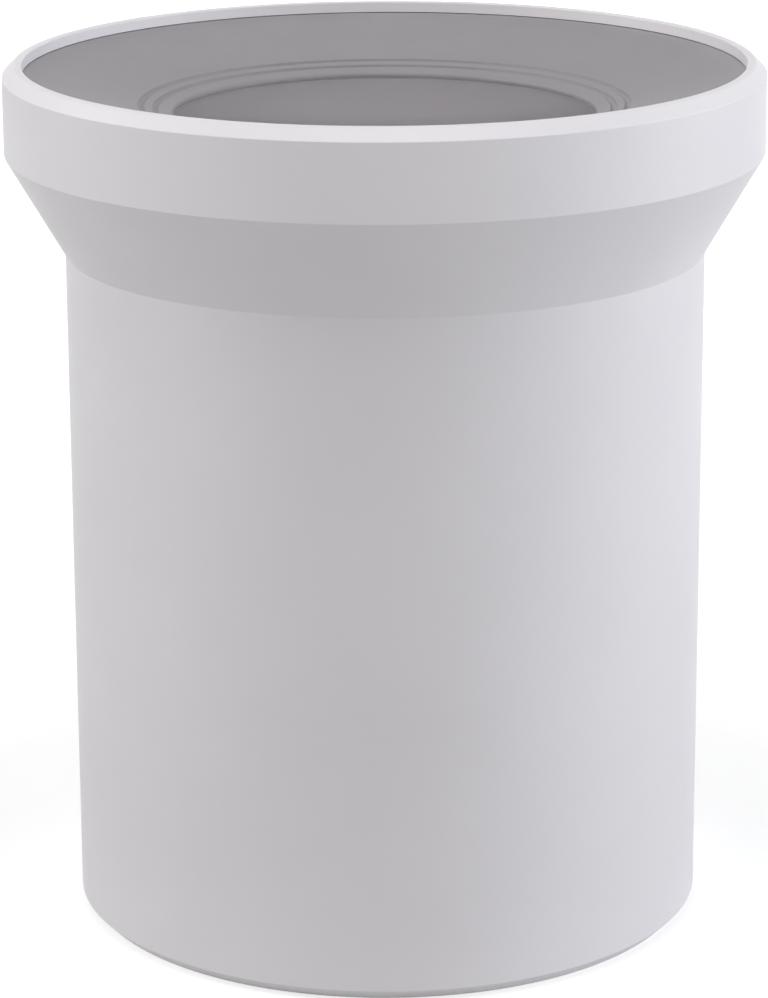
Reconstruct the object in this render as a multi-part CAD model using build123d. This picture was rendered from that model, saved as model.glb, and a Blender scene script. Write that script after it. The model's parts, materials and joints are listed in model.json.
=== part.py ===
from build123d import *
import os
from math import cos, radians, tan

# Straight toilet pan connector, standing on its spigot end.
# Sizes are millimetres. +Z runs up the axis from the centre of the spigot's end face.

# Body: one white moulding with an even wall
overall_length = 150.0        # spigot end to socket rim
spigot_diameter = 110.0       # outside, for a 110 mm drain socket
socket_diameter = 130.0       # outside of the straight band round the socket
socket_band_height = 13.0     # straight band, below the rim's chamfer
shoulder_angle = 30.0         # degrees from the axis
body_wall = 3.4
spigot_chamfer = 2.0          # lead-in at the spigot's end
rim_chamfer = 2.0

# Groove inside the socket that holds the seal
retaining_lip_height = 2.0    # ring of the rim that stands over the seal
groove_depth = 1.2            # how far the retaining lip overhangs
seat_rise = 1.0               # ledge under the seal, above the foot of the straight band

# Seal: one grey rubber moulding
seal_clearance = 0.1          # round and above the collar in its groove
collar_wall = 1.5
membrane_thickness = 1.2
membrane_slope = 15.0         # degrees below level, falling towards the hole
hole_diameter = 72.5          # unstretched
lip_round = 0.6               # upper edge of the hole, where the pan's outlet goes in
ring_count = 2                # grooves round the hole that let the lip flex
ring_inset = 2.85             # hole's edge to the middle of the first ring
ring_pitch = 2.4
ring_width = 1.2              # at the membrane's surface
ring_depth = 0.45
ring_wall_angle = 60.0        # degrees between a ring's wall and the membrane

# Radii and heights that the two mouldings share
spigot_radius = spigot_diameter / 2
socket_radius = socket_diameter / 2
mouth_radius = socket_radius - body_wall
groove_radius = mouth_radius + groove_depth
retaining_lip_foot = overall_length - retaining_lip_height
band_foot = overall_length - rim_chamfer - socket_band_height
seat_height = band_foot + seat_rise


def section_from(corners):
    """Half section as a face, from (radius, height) corners in order round it."""
    return make_face(Polyline(*corners, close=True))


def turned(section):
    """Solid of revolution about +Z from a half section."""
    return revolve(Plane.XZ * section, Axis.Z)


def connector_body():
    """Spigot, shoulder and socket as one wall, with the seal's groove inside the socket."""
    taper = tan(radians(shoulder_angle))
    bore_radius = spigot_radius - body_wall
    band_foot_inner_radius = socket_radius - body_wall / cos(radians(shoulder_angle))
    shoulder_foot = band_foot - (socket_radius - spigot_radius) / taper
    bore_top = band_foot - (band_foot_inner_radius - bore_radius) / taper

    outside = [
        (spigot_radius - spigot_chamfer, 0),
        (spigot_radius, spigot_chamfer),
        (spigot_radius, shoulder_foot),
        (socket_radius, band_foot),
        (socket_radius, overall_length - rim_chamfer),
        (socket_radius - rim_chamfer, overall_length),
    ]
    inside = [
        (mouth_radius, overall_length),
        (mouth_radius, retaining_lip_foot),
        (groove_radius, retaining_lip_foot),
        (groove_radius, seat_height),
        (band_foot_inner_radius + seat_rise * taper, seat_height),
        (bore_radius, bore_top),
        (bore_radius, 0),
    ]
    return turned(section_from(outside + inside))


def lip_seal():
    """Collar that stands on the groove's ledge, and a sloping membrane with rings round its hole."""
    slope = radians(membrane_slope)
    collar_radius = groove_radius - seal_clearance
    collar_inner_radius = collar_radius - collar_wall
    collar_top = retaining_lip_foot - seal_clearance
    hole_radius = hole_diameter / 2
    membrane_drop = membrane_thickness / cos(slope)

    def membrane_top(radius):
        return collar_top - (mouth_radius - radius) * tan(slope)

    section = section_from([
        (collar_inner_radius, seat_height),
        (collar_radius, seat_height),
        (collar_radius, collar_top),
        (mouth_radius, collar_top),
        (hole_radius, membrane_top(hole_radius)),
        (hole_radius, membrane_top(hole_radius) - membrane_drop),
        (collar_inner_radius, membrane_top(collar_inner_radius) - membrane_drop),
    ])

    lip_edge = section.vertices().group_by(Axis.X)[0].sort_by(Axis.Y)[-1]
    section = fillet(lip_edge, lip_round)

    # Each ring is cut by a trapezoid centred on the membrane's surface, so half of it stands clear
    ring_splay = 2 * ring_depth / tan(radians(ring_wall_angle))
    for ring in range(ring_count):
        ring_radius = hole_radius + ring_inset + ring * ring_pitch
        cutter = Trapezoid(ring_width + ring_splay, 2 * ring_depth, ring_wall_angle, rotation=180)
        section -= Pos(ring_radius, membrane_top(ring_radius)) * Rot(0, 0, membrane_slope) * cutter
    return turned(section)


os.makedirs("parts", exist_ok=True)
export_step(connector_body(), "parts/connector_body.step")
export_step(lip_seal(), "parts/lip_seal.step")
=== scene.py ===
import json
from math import cos, pi, radians, sin, tan

import bpy
from bpy.props import FloatProperty, FloatVectorProperty, IntProperty, PointerProperty
from bpy.types import Operator, Panel, PropertyGroup
from mathutils import Euler, Matrix, Vector


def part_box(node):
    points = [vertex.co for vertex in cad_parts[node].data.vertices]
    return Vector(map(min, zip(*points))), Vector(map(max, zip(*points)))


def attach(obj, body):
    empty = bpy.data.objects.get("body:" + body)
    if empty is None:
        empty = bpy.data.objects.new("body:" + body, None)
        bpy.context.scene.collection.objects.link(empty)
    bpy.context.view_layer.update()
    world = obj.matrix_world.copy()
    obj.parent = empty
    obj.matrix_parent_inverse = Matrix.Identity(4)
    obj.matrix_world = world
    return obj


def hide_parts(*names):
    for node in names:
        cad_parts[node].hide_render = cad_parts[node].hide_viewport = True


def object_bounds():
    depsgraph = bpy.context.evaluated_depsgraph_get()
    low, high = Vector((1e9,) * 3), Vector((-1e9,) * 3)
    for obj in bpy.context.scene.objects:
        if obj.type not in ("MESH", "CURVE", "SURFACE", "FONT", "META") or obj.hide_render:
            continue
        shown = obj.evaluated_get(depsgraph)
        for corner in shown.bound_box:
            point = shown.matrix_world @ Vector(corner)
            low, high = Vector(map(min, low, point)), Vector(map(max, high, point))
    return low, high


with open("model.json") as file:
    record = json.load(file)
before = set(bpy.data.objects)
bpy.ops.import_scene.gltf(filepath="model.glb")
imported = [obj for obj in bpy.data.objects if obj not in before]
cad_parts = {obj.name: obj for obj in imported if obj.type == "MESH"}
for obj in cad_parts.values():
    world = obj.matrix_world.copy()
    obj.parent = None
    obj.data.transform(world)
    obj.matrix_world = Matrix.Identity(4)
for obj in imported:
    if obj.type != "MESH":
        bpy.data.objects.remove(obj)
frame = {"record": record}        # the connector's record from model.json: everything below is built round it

bl_info = {
    "name": "Toilet Pan Connector",
    "version": (1, 0, 0),
    "blender": (4, 5, 0),
    "location": "View3D > Sidebar > Pan Connector",
    "description": "Straight pan connector: a white body, the lip seal in its mouth and a studio stage",
    "category": "Add Mesh",
}

MM = 0.001

# What the frame says: the whole box, the corners of the two mouldings' boxes and the radii of the mounts
CAD_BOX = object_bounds()
BODY_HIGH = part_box("connector_body")[1]
SEAL_LOW, SEAL_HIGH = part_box("lip_seal")
MOUNT_RADIUS = {
    mount["name"]: mount["dims"]["r_mm"] * MM
    for mount in frame["record"]["mounts"]
    if "r_mm" in mount["dims"]
}

# A turned piece is an outline swept round a small circle about +Z
SWEEP_RADIUS = 10 * MM
POINTS_PER_ROUND = 6
CORNER_SIZES = ("radius", "height", "round")

# Softboxes of the stage: place, width and height in metres, tint, and whether gloss shows the lamp
SOFTBOXES = {
    "left": ((-0.95, 0.0, 0.6), 0.9, 0.9, "#FFFFFF", True),
    "right": ((1.1, 0.0, 0.3), 1.0, 0.8, "#F5F9FF", True),
    "overhead": ((0.0, -0.2, 1.05), 0.8, 0.6, "#FFFFFF", True),
    "front": ((0.0, -1.0, 0.326), 0.16, 0.03, "#FFFFFF", False),
    "low_front": ((0.0, -1.0, 0.22), 0.16, 0.03, "#FFFFFF", False),
    "back": ((0.0, 1.1, 0.2), 0.9, 0.3, "#FFFFFF", False),
    "bore": ((0.0, -0.038, 0.106), 0.036, 0.016, "#FFFFFF", False),
}

# Places of the colour sockets on a Mix node
MIX_FIRST, MIX_SECOND, MIX_RESULT = 6, 7, 2

# Values between which a noise mostly stays
NOISE_LOW, NOISE_HIGH = 0.3, 0.7


def linear(hex_colour):
    """Linear RGBA from an sRGB hex colour."""
    channels = [int(hex_colour[place:place + 2], 16) / 255 for place in (1, 3, 5)]
    return [c / 12.92 if c <= 0.04045 else ((c + 0.055) / 1.055) ** 2.4 for c in channels] + [1.0]


def length(name, description, default):
    """Property for a length in metres."""
    return FloatProperty(name=name, description=description, default=default, subtype="DISTANCE", precision=5)


def angle(name, description, degrees):
    """Property for an angle, given in degrees."""
    return FloatProperty(name=name, description=description, default=radians(degrees), subtype="ANGLE")


def colour(name, description, hex_colour):
    """Property for a colour, given as sRGB hex."""
    return FloatVectorProperty(
        name=name, description=description, default=linear(hex_colour), size=4, min=0, max=1, subtype="COLOR"
    )


def power(name, description, watts):
    """Property for a lamp's power in watts."""
    return FloatProperty(name=name, description=description, default=watts, min=0, unit="POWER")


class ConnectorBodySettings(PropertyGroup):
    """Sizes and colours of the white moulding"""

    overall_length: length("Overall length", "Spigot end to socket rim", BODY_HIGH.z)
    spigot_radius: length("Spigot radius", "Outside of the spigot", MOUNT_RADIUS["drain_spigot"])
    bore_radius: length("Bore radius", "Inside of the spigot", MOUNT_RADIUS["spigot_bore"])
    socket_radius: length("Socket radius", "Outside of the straight band round the socket", BODY_HIGH.x)
    band_height: length("Band height", "Straight band, below the rim's chamfer", 13 * MM)
    shoulder_angle: angle("Shoulder angle", "Slope of the shoulder, from the axis", 30)
    chamfer: length("Chamfer", "Lead-in at the spigot's end and round the rim", 2 * MM)
    retaining_lip_height: length("Retaining lip", "Ring of the rim that stands over the seal", 2 * MM)
    groove_depth: length("Groove depth", "How far the groove goes in behind the retaining lip", 1.2 * MM)
    seat_height: length("Seat height", "Ledge that the seal stands on, above the spigot's end", SEAL_LOW.z)
    edge_round: length("Edge round", "Small round that the mould leaves on each edge", 0.3 * MM)
    rim_round: length("Rim round", "Softer round between the rim's flat top and its chamfer", 0.8 * MM)
    parting_round: length("Parting round", "Sharper round at the parting line, over the seal", 0.1 * MM)
    sides: IntProperty(name="Sides", description="Flats round the turned body", default=256, min=24)
    colour: colour("Colour", "Main tone of the plastic", "#E9E6E9")
    cloud_colour: colour("Cloud colour", "Tone where the melt was slower to fill the mould", "#E6E3E6")


class LipSealSettings(PropertyGroup):
    """Sizes and colours of the grey rubber moulding"""

    collar_radius: length("Collar radius", "Outside of the collar in the socket's groove", SEAL_HIGH.x)
    collar_wall: length("Collar wall", "Thickness of the collar", 1.5 * MM)
    collar_foot: length("Collar foot", "Height of the collar's foot above the spigot's end", SEAL_LOW.z)
    collar_top: length("Collar top", "Height of the collar's top above the spigot's end", SEAL_HIGH.z)
    collar_land: length("Collar land", "Level ring of the collar, under the rim", 1.1 * MM)
    membrane_slope: angle("Membrane slope", "Fall of the membrane towards its hole", 15)
    membrane_thickness: length("Membrane thickness", "Measured square to the membrane", 1.2 * MM)
    hole_radius: length("Hole radius", "Hole for the pan's outlet, unstretched", MOUNT_RADIUS["pan_lip"])
    lip_round: length("Lip round", "Upper edge of the hole", 0.6 * MM)
    lip_foot_round: length("Lip foot round", "Lower edge of the hole", 0.55 * MM)
    ring_count: IntProperty(name="Rings", description="Grooves round the hole", default=2, min=0)
    ring_inset: length("Ring inset", "Hole's edge to the middle of the first ring", 2.85 * MM)
    ring_pitch: length("Ring pitch", "Middle of one ring to the middle of the next", 2.4 * MM)
    ring_width: length("Ring width", "Width of a ring at the membrane's surface", 1.2 * MM)
    ring_depth: length("Ring depth", "Depth of a ring below the membrane's surface", 0.45 * MM)
    ring_wall_angle: angle("Ring wall angle", "Between a ring's wall and the membrane", 60)
    ring_edge_round: length("Ring edge round", "Round along a ring's two edges", 0.2 * MM)
    ring_floor_round: length("Ring floor round", "Round along the foot of a ring's walls", 0.35 * MM)
    edge_round: length("Edge round", "Small round that the mould leaves on the other edges", 0.2 * MM)
    sides: IntProperty(name="Sides", description="Flats round the turned seal", default=256, min=24)
    colour: colour("Colour", "Main tone of the rubber", "#918E91")
    bloom_colour: colour("Bloom colour", "Tone under the pale film that rubber grows", "#989598")


class StageSettings(PropertyGroup):
    """Camera, lamps and floor"""

    camera_distance: length("Camera distance", "Camera to the connector's axis, along the floor", 656.52 * MM)
    camera_height: length("Camera height", "Camera above the floor", 262.75 * MM)
    camera_tilt: angle("Camera tilt", "How far the camera looks down", 16.215)
    camera_turn: angle("Camera turn", "How far the camera turns to its right", -0.034)
    camera_roll: angle("Camera roll", "How far the camera leans to its left", -0.246)
    focal_length: FloatProperty(
        name="Focal length", description="Lens for a 36 mm sensor", default=140.28, unit="CAMERA"
    )
    left_power: power("Left softbox", "Raised lamp on the left", 6.5)
    right_power: power("Right softbox", "Low lamp on the right, the strongest", 10.2)
    overhead_power: power("Overhead softbox", "Lamp above, a little in front", 4.75)
    front_power: power("Front softbox", "Small lamp behind the camera, which reaches into the hole", 1.3)
    low_front_power: power("Low front softbox", "Lamp below the front one, too low to reach the hole", 1.23)
    back_power: power("Back softbox", "Low lamp that lights the far side", 4.4)
    bore_power: power("Bore softbox", "Lamp in the bore, for light that the near wall lets through", 0.025)
    floor_colour: colour("Floor colour", "Pale grey studio floor", "#AAAAAA")
    # Paler paint round the foot is painted light: a pool of light that lightens the floor's shadow there and
    # sends more light onto the foot
    painted_foot_light_colour: colour("Floor colour at the foot", "Paler floor close round the connector", "#C0C0C0")
    floor_lift: FloatProperty(
        name="Floor lift",
        description="Light that the floor near the connector shows the eye but sheds on nothing",
        default=0.64,
        min=0,
    )


def add_node(tree, kind, settings=None, inputs=None):
    """Adds a node with its settings. Each input, by name or place, takes a value or another node's output."""
    node = tree.nodes.new(kind)
    for name, value in (settings or {}).items():
        setattr(node, name, value)
    for socket, value in (inputs or {}).items():
        if isinstance(value, bpy.types.NodeSocket):
            tree.links.new(value, node.inputs[socket])
        else:
            node.inputs[socket].default_value = value
    return node


def new_material(name):
    """Material with an empty node tree."""
    material = bpy.data.materials.new(name)
    material.use_nodes = True
    material.node_tree.nodes.clear()
    return material


def noise_range(tree, noise, low=0.0, high=1.0):
    """Output that goes from low to high over the values that a noise mostly takes."""
    spread = add_node(tree, "ShaderNodeMapRange", None, {
        "Value": noise.outputs["Fac"],
        "From Min": NOISE_LOW,
        "From Max": NOISE_HIGH,
        "To Min": low,
        "To Max": high,
    })
    return spread.outputs["Result"]


def moulded_polypropylene(body):
    """White polypropylene, injection moulded in a satin tool."""
    # To the eye: a soft even white with no sharp reflection, faint clouds of tone where the melt
    # flowed, and a fine grain that takes the edge off the highlights.
    cloud_size = 30 * MM
    grain_size = 0.5 * MM
    grain_relief = 0.012 * MM
    smoothest, roughest = 0.42, 0.5
    material = new_material("moulded_polypropylene_satin")
    tree = material.node_tree
    place = add_node(tree, "ShaderNodeTexCoord").outputs["Object"]
    clouds = add_node(tree, "ShaderNodeTexNoise", None, {
        "Vector": place, "Scale": 1 / cloud_size, "Detail": 3.0, "Roughness": 0.5,
    })
    tone = add_node(tree, "ShaderNodeMix", {"data_type": "RGBA"}, {
        "Factor": noise_range(tree, clouds), MIX_FIRST: body.colour, MIX_SECOND: body.cloud_colour,
    })
    grain = add_node(tree, "ShaderNodeTexNoise", None, {
        "Vector": place, "Scale": 1 / grain_size, "Detail": 1.0,
    })
    relief = add_node(tree, "ShaderNodeBump", None, {
        "Height": grain.outputs["Fac"], "Distance": grain_relief,
    })
    shader = add_node(tree, "ShaderNodeBsdfPrincipled", None, {
        "Base Color": tone.outputs[MIX_RESULT],
        "Roughness": noise_range(tree, clouds, smoothest, roughest),
        "Normal": relief.outputs["Normal"],
        "IOR": 1.49,
    })
    add_node(tree, "ShaderNodeOutputMaterial", None, {"Surface": shader.outputs["BSDF"]})
    return material


def moulded_rubber(seal):
    """Grey sealing rubber, compression moulded and left matt."""
    # To the eye: a flat mid grey that hardly shines, slightly paler in patches where a film has bloomed
    # to the surface, with a fine tooth from the mould.
    bloom_size = 9 * MM
    tooth_size = 0.4 * MM
    tooth_relief = 0.02 * MM
    smoothest, roughest = 0.55, 0.66
    material = new_material("moulded_rubber_matt")
    tree = material.node_tree
    place = add_node(tree, "ShaderNodeTexCoord").outputs["Object"]
    bloom = add_node(tree, "ShaderNodeTexNoise", None, {
        "Vector": place, "Scale": 1 / bloom_size, "Detail": 5.0, "Roughness": 0.6,
    })
    tone = add_node(tree, "ShaderNodeMix", {"data_type": "RGBA"}, {
        "Factor": noise_range(tree, bloom), MIX_FIRST: seal.colour, MIX_SECOND: seal.bloom_colour,
    })
    tooth = add_node(tree, "ShaderNodeTexNoise", None, {
        "Vector": place, "Scale": 1 / tooth_size, "Detail": 1.0,
    })
    relief = add_node(tree, "ShaderNodeBump", None, {
        "Height": tooth.outputs["Fac"], "Distance": tooth_relief,
    })
    shader = add_node(tree, "ShaderNodeBsdfPrincipled", None, {
        "Base Color": tone.outputs[MIX_RESULT],
        "Roughness": noise_range(tree, bloom, smoothest, roughest),
        "Normal": relief.outputs["Normal"],
        "IOR": 1.52,
    })
    add_node(tree, "ShaderNodeOutputMaterial", None, {"Surface": shader.outputs["BSDF"]})
    return material


def turned_tree(name, corners):
    """Node tree that rounds the corners of a closed outline and turns it about +Z.

    It has an input for each corner's radius, height and round.
    """
    tree = bpy.data.node_groups.new(name, "GeometryNodeTree")
    sockets = tree.interface
    sockets.new_socket("Geometry", in_out="OUTPUT", socket_type="NodeSocketGeometry")
    for corner in corners:
        for size in CORNER_SIZES:
            socket = sockets.new_socket(f"{corner} {size}", in_out="INPUT", socket_type="NodeSocketFloat")
            socket.subtype = "DISTANCE"
    sockets.new_socket("Sides", in_out="INPUT", socket_type="NodeSocketInt")
    sockets.new_socket("Points per round", in_out="INPUT", socket_type="NodeSocketInt")
    sockets.new_socket("Material", in_out="INPUT", socket_type="NodeSocketMaterial")
    given = add_node(tree, "NodeGroupInput").outputs

    # Each size of the outline's point in hand, picked by the point's number
    number = add_node(tree, "GeometryNodeInputIndex").outputs["Index"]
    picked = {}
    for size in CORNER_SIZES:
        switch = add_node(tree, "GeometryNodeIndexSwitch", {"data_type": "FLOAT"}, {"Index": number})
        while len(switch.index_switch_items) < len(corners):
            switch.index_switch_items.new()
        for place, corner in enumerate(corners, start=1):
            tree.links.new(given[f"{corner} {size}"], switch.inputs[place])
        picked[size] = switch.outputs["Output"]

    # The outline lies flat, with its height along -Y, which the sweep turns upright
    reach = add_node(tree, "ShaderNodeMath", {"operation": "SUBTRACT"}, {
        0: picked["radius"], 1: SWEEP_RADIUS,
    })
    fall = add_node(tree, "ShaderNodeMath", {"operation": "MULTIPLY"}, {0: picked["height"], 1: -1.0})
    spot = add_node(tree, "ShaderNodeCombineXYZ", None, {
        "X": reach.outputs["Value"], "Y": fall.outputs["Value"],
    })
    line = add_node(tree, "GeometryNodeCurvePrimitiveLine")
    points = add_node(tree, "GeometryNodeResampleCurve", {"mode": "COUNT"}, {
        "Curve": line.outputs["Curve"], "Count": len(corners),
    })
    outline = add_node(tree, "GeometryNodeSetPosition", None, {
        "Geometry": points.outputs["Curve"], "Position": spot.outputs["Vector"],
    })
    closed = add_node(tree, "GeometryNodeSetSplineCyclic", None, {
        "Geometry": outline.outputs["Geometry"], "Cyclic": True,
    })
    rounded = add_node(tree, "GeometryNodeFilletCurve", {"mode": "POLY"}, {
        "Curve": closed.outputs["Geometry"],
        "Count": given["Points per round"],
        "Radius": picked["round"],
        "Limit Radius": True,
    })
    circle = add_node(tree, "GeometryNodeCurvePrimitiveCircle", None, {
        "Resolution": given["Sides"], "Radius": SWEEP_RADIUS,
    })
    swept = add_node(tree, "GeometryNodeCurveToMesh", None, {
        "Curve": circle.outputs["Curve"], "Profile Curve": rounded.outputs["Curve"],
    })
    outward = add_node(tree, "GeometryNodeFlipFaces", None, {"Mesh": swept.outputs["Mesh"]})
    smooth = add_node(tree, "GeometryNodeSetShadeSmooth", None, {"Geometry": outward.outputs["Mesh"]})
    solid = add_node(tree, "GeometryNodeRealizeInstances", None, {"Geometry": smooth.outputs["Geometry"]})
    finished = add_node(tree, "GeometryNodeSetMaterial", None, {
        "Geometry": solid.outputs["Geometry"], "Material": given["Material"],
    })
    add_node(tree, "NodeGroupOutput", None, {"Geometry": finished.outputs["Geometry"]})
    return tree


def turned_piece(name, outline, sides, material):
    """Object made by turning an outline about +Z.

    The outline gives (radius, height, round) for each named corner.
    """
    tree = turned_tree(f"turned_{name}", list(outline))
    values = {"Sides": sides, "Points per round": POINTS_PER_ROUND, "Material": material}
    for corner, sizes in outline.items():
        for size, value in zip(CORNER_SIZES, sizes):
            values[f"{corner} {size}"] = value

    piece = bpy.data.objects.new(name, bpy.data.meshes.new(name))
    bpy.context.scene.collection.objects.link(piece)
    turning = piece.modifiers.new("Turning", "NODES")
    turning.node_group = tree
    for socket in tree.interface.items_tree:
        if socket.in_out == "INPUT":
            turning[socket.identifier] = values[socket.name]

    # Shading follows the large faces, so that only the rounds bend it
    shading = piece.modifiers.new("Shading", "WEIGHTED_NORMAL")
    shading.mode = "FACE_AREA"

    depsgraph = bpy.context.evaluated_depsgraph_get()
    mesh = bpy.data.meshes.new_from_object(piece.evaluated_get(depsgraph))
    piece.modifiers.clear()
    piece.data = mesh
    return piece


def body_outline(body):
    """Corners of the body's half section, in order round it."""
    taper = tan(body.shoulder_angle)
    wall = body.spigot_radius - body.bore_radius
    mouth_radius = body.socket_radius - wall
    groove_radius = mouth_radius + body.groove_depth
    retaining_lip_foot = body.overall_length - body.retaining_lip_height
    band_top = body.overall_length - body.chamfer
    band_foot = band_top - body.band_height
    shoulder_foot = band_foot - (body.socket_radius - body.spigot_radius) / taper
    # Inside of the shoulder's wall, level with the foot of the band
    inside_radius = body.socket_radius - wall / cos(body.shoulder_angle)
    bore_top = band_foot - (inside_radius - body.bore_radius) / taper
    seat_radius = inside_radius + (body.seat_height - band_foot) * taper
    edge = body.edge_round
    return {
        "Spigot end": (body.spigot_radius - body.chamfer, 0.0, edge),
        "Lead-in": (body.spigot_radius, body.chamfer, edge),
        "Shoulder foot": (body.spigot_radius, shoulder_foot, edge),
        "Shoulder top": (body.socket_radius, band_foot, edge),
        "Band top": (body.socket_radius, band_top, edge),
        "Rim": (body.socket_radius - body.chamfer, body.overall_length, body.rim_round),
        "Mouth": (mouth_radius, body.overall_length, edge),
        "Retaining lip": (mouth_radius, retaining_lip_foot, body.parting_round),
        "Groove top": (groove_radius, retaining_lip_foot, edge),
        "Groove foot": (groove_radius, body.seat_height, edge),
        "Seat": (seat_radius, body.seat_height, edge),
        "Bore top": (body.bore_radius, bore_top, edge),
        "Bore end": (body.bore_radius, 0.0, edge),
    }


def seal_outline(seal):
    """Corners of the seal's half section, in order round it."""
    slope = seal.membrane_slope
    inside_radius = seal.collar_radius - seal.collar_wall
    land_radius = seal.collar_radius - seal.collar_land
    membrane_drop = seal.membrane_thickness / cos(slope)
    half_ring = seal.ring_width / 2
    half_floor = half_ring - seal.ring_depth / tan(seal.ring_wall_angle)

    def membrane_top(radius):
        return seal.collar_top - (land_radius - radius) * tan(slope)

    outline = {
        "Collar foot inside": (inside_radius, seal.collar_foot, seal.edge_round),
        "Collar foot": (seal.collar_radius, seal.collar_foot, seal.edge_round),
        "Collar top": (seal.collar_radius, seal.collar_top, seal.edge_round),
        "Membrane top": (land_radius, seal.collar_top, seal.edge_round),
    }
    # A ring's corners, from its outer edge to its inner one: along the membrane, below it, and the round
    ring_corners = {
        "outer edge": (half_ring, 0.0, seal.ring_edge_round),
        "outer floor": (half_floor, seal.ring_depth, seal.ring_floor_round),
        "inner floor": (-half_floor, seal.ring_depth, seal.ring_floor_round),
        "inner edge": (-half_ring, 0.0, seal.ring_edge_round),
    }
    for ring in reversed(range(seal.ring_count)):
        ring_radius = seal.hole_radius + seal.ring_inset + ring * seal.ring_pitch
        for corner, (along, below, corner_round) in ring_corners.items():
            outline[f"Ring {ring + 1} {corner}"] = (
                ring_radius + along * cos(slope) + below * sin(slope),
                membrane_top(ring_radius) + along * sin(slope) - below * cos(slope),
                corner_round,
            )
    lip_top = membrane_top(seal.hole_radius)
    outline["Lip top"] = (seal.hole_radius, lip_top, seal.lip_round)
    outline["Lip foot"] = (seal.hole_radius, lip_top - membrane_drop, seal.lip_foot_round)
    outline["Membrane foot"] = (inside_radius, membrane_top(inside_radius) - membrane_drop, seal.edge_round)
    return outline


class PAN_CONNECTOR_OT_make_body(Operator):
    """Turn the white body: spigot, shoulder and socket in one wall"""

    bl_idname = "pan_connector.make_body"
    bl_label = "Make Connector Body"

    def execute(self, context):
        body = context.scene.connector_body
        piece = turned_piece("moulded_body", body_outline(body), body.sides, moulded_polypropylene(body))
        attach(piece, "root")
        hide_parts("connector_body")
        return {"FINISHED"}


class PAN_CONNECTOR_OT_make_seal(Operator):
    """Turn the grey seal: a collar in the socket's groove and a ringed membrane round a hole"""

    bl_idname = "pan_connector.make_seal"
    bl_label = "Make Lip Seal"

    def execute(self, context):
        seal = context.scene.lip_seal
        piece = turned_piece("rubber_seal", seal_outline(seal), seal.sides, moulded_rubber(seal))
        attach(piece, "root")
        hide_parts("lip_seal")
        return {"FINISHED"}


def rays_to_the_eye(tree):
    """Output that is 1 for what is seen straight, in a reflection or through glass.

    It is 0 for light shed on things.
    """
    rays = add_node(tree, "ShaderNodeLightPath").outputs
    seen = add_node(tree, "ShaderNodeMath", {"operation": "MAXIMUM"}, {
        0: rays["Is Camera Ray"], 1: rays["Is Glossy Ray"],
    })
    seen = add_node(tree, "ShaderNodeMath", {"operation": "MAXIMUM"}, {
        0: seen.outputs["Value"], 1: rays["Is Transmission Ray"],
    })
    return seen.outputs["Value"]


def painted_floor(stage):
    """Matt grey studio paint, paler at the connector's foot, where the paler paint is painted light.

    It takes a soft shadow, and it is lifted to white for the eye alone.
    """
    # How far from the connector's axis each stretch of the floor begins or ends
    painted_light_until = 60 * MM
    plain_from = 100 * MM
    shadow_until = 80 * MM
    white_from = 400 * MM
    material = new_material("matt_studio_paint")
    tree = material.node_tree
    place = add_node(tree, "ShaderNodeTexCoord").outputs["Object"]
    distance = add_node(tree, "ShaderNodeVectorMath", {"operation": "LENGTH"}, {0: place}).outputs["Value"]
    # Paler paint near the foot is a painted pool of light round it: it lightens the shadow there and sends
    # more light onto the foot
    clear_of_foot = add_node(tree, "ShaderNodeMapRange", None, {
        "Value": distance, "From Min": painted_light_until, "From Max": plain_from,
    })
    tone = add_node(tree, "ShaderNodeMix", {"data_type": "RGBA"}, {
        "Factor": clear_of_foot.outputs["Result"],
        MIX_FIRST: stage.painted_foot_light_colour,
        MIX_SECOND: stage.floor_colour,
    })
    # The shadow shows near the connector, and the floor farther out is as white as the backdrop
    whiteness = add_node(tree, "ShaderNodeMapRange", None, {
        "Value": distance, "From Min": shadow_until, "From Max": white_from, "To Min": stage.floor_lift,
    })
    lift = add_node(tree, "ShaderNodeMath", {"operation": "MULTIPLY"}, {
        0: rays_to_the_eye(tree), 1: whiteness.outputs["Result"],
    })
    paint = add_node(tree, "ShaderNodeBsdfDiffuse", None, {"Color": tone.outputs[MIX_RESULT]})
    glow = add_node(tree, "ShaderNodeEmission", None, {"Strength": lift.outputs["Value"]})
    both = add_node(tree, "ShaderNodeAddShader", None, {
        0: paint.outputs["BSDF"], 1: glow.outputs["Emission"],
    })
    add_node(tree, "ShaderNodeOutputMaterial", None, {"Surface": both.outputs["Shader"]})
    return material


def make_floor(stage):
    """Level floor under the connector, wide enough to fill the view behind it."""
    reach = 5.0
    corners = [(-reach, -reach, 0), (reach, -reach, 0), (reach, reach, 0), (-reach, reach, 0)]
    mesh = bpy.data.meshes.new("floor")
    mesh.from_pydata(corners, [], [(0, 1, 2, 3)])
    mesh.materials.append(painted_floor(stage))
    floor = bpy.data.objects.new("floor", mesh)
    bpy.context.scene.collection.objects.link(floor)


def make_world():
    """White backdrop, for the eye alone."""
    world = bpy.data.worlds.new("studio")
    world.use_nodes = True
    tree = world.node_tree
    tree.nodes.clear()
    backdrop = add_node(tree, "ShaderNodeBackground", None, {
        "Color": linear("#FFFFFF"), "Strength": rays_to_the_eye(tree),
    })
    add_node(tree, "ShaderNodeOutputWorld", None, {"Surface": backdrop.outputs["Background"]})
    bpy.context.scene.world = world


def add_softbox(name, place, width, height, watts, hex_colour, mirrored):
    """Soft rectangular lamp, aimed at the middle of the connector. Only gloss can show the lamp itself."""
    lamp = bpy.data.lights.new(name, "AREA")
    lamp.shape = "RECTANGLE"
    lamp.size = width
    lamp.size_y = height
    lamp.energy = watts
    lamp.color = linear(hex_colour)[:3]
    softbox = bpy.data.objects.new(name, lamp)
    softbox.location = place
    middle = (Vector(CAD_BOX[0]) + Vector(CAD_BOX[1])) / 2
    softbox.rotation_euler = (softbox.location - middle).to_track_quat("Z", "Y").to_euler()
    softbox.visible_camera = False
    softbox.visible_glossy = mirrored
    bpy.context.scene.collection.objects.link(softbox)


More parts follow.
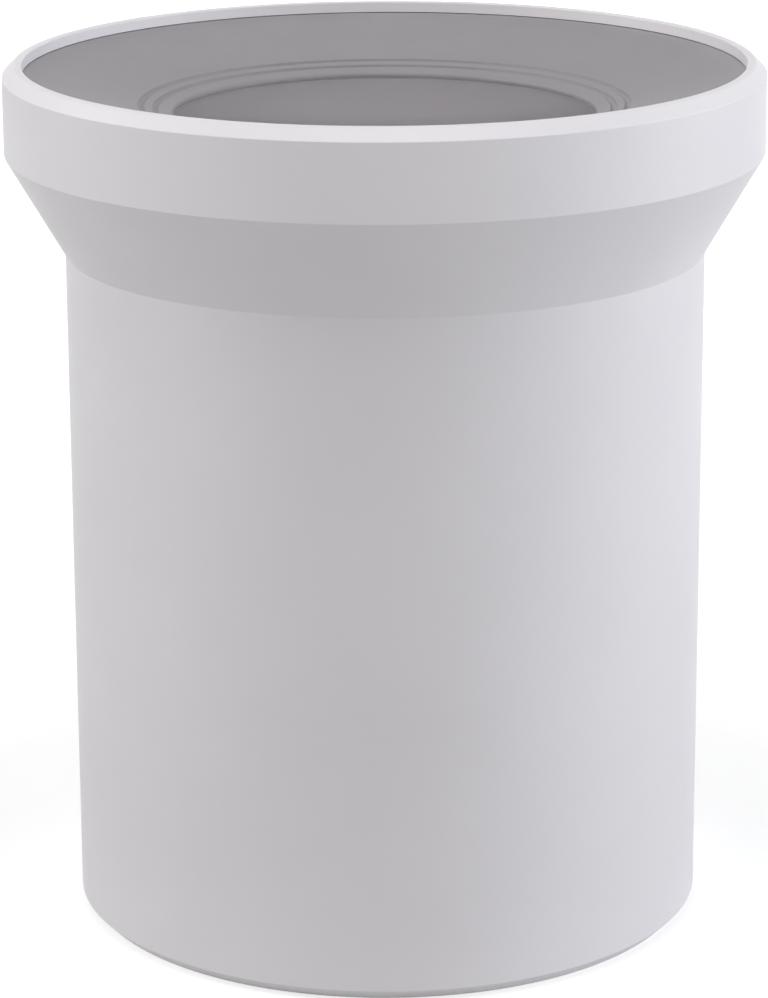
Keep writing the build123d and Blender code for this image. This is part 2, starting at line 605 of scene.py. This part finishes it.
def add_camera(stage):
    """Camera in front of the connector, looking down at it."""
    lens = bpy.data.cameras.new("camera")
    lens.lens = stage.focal_length
    camera = bpy.data.objects.new("camera", lens)
    aim = Euler((pi / 2 - stage.camera_tilt, 0, -stage.camera_turn)).to_matrix()
    camera.rotation_euler = (aim @ Matrix.Rotation(stage.camera_roll, 3, "Z")).to_euler()
    camera.location = (0, -stage.camera_distance, stage.camera_height)
    bpy.context.scene.collection.objects.link(camera)
    bpy.context.scene.camera = camera


class PAN_CONNECTOR_OT_set_stage(Operator):
    """Set the floor, the backdrop, the soft lamps and the camera"""

    bl_idname = "pan_connector.set_stage"
    bl_label = "Set Stage"

    def execute(self, context):
        stage = context.scene.connector_stage
        context.scene.view_settings.view_transform = "Standard"
        make_floor(stage)
        make_world()
        for name, (place, width, height, hex_colour, mirrored) in SOFTBOXES.items():
            watts = getattr(stage, f"{name}_power")
            add_softbox(f"{name}_softbox", place, width, height, watts, hex_colour, mirrored)
        add_camera(stage)
        return {"FINISHED"}


# Each row of the panel: where the scene keeps the settings, their group and the operator that uses them
PANEL_ROWS = [
    ("connector_body", ConnectorBodySettings, PAN_CONNECTOR_OT_make_body),
    ("lip_seal", LipSealSettings, PAN_CONNECTOR_OT_make_seal),
    ("connector_stage", StageSettings, PAN_CONNECTOR_OT_set_stage),
]


class VIEW3D_PT_pan_connector(Panel):
    """Settings and operators for the connector's pieces and its stage"""

    bl_label = "Pan Connector"
    bl_space_type = "VIEW_3D"
    bl_region_type = "UI"
    bl_category = "Pan Connector"

    def draw(self, context):
        for attribute, group, operator in PANEL_ROWS:
            box = self.layout.box()
            for name in group.__annotations__:
                box.prop(getattr(context.scene, attribute), name)
            box.operator(operator.bl_idname)


def register():
    for attribute, group, operator in PANEL_ROWS:
        bpy.utils.register_class(group)
        bpy.utils.register_class(operator)
        setattr(bpy.types.Scene, attribute, PointerProperty(type=group))
    bpy.utils.register_class(VIEW3D_PT_pan_connector)


def unregister():
    bpy.utils.unregister_class(VIEW3D_PT_pan_connector)
    for attribute, group, operator in reversed(PANEL_ROWS):
        delattr(bpy.types.Scene, attribute)
        bpy.utils.unregister_class(operator)
        bpy.utils.unregister_class(group)


def main():
    register()
    bpy.ops.pan_connector.make_body()
    bpy.ops.pan_connector.make_seal()
    bpy.ops.pan_connector.set_stage()


if __name__ == "__main__":
    main()
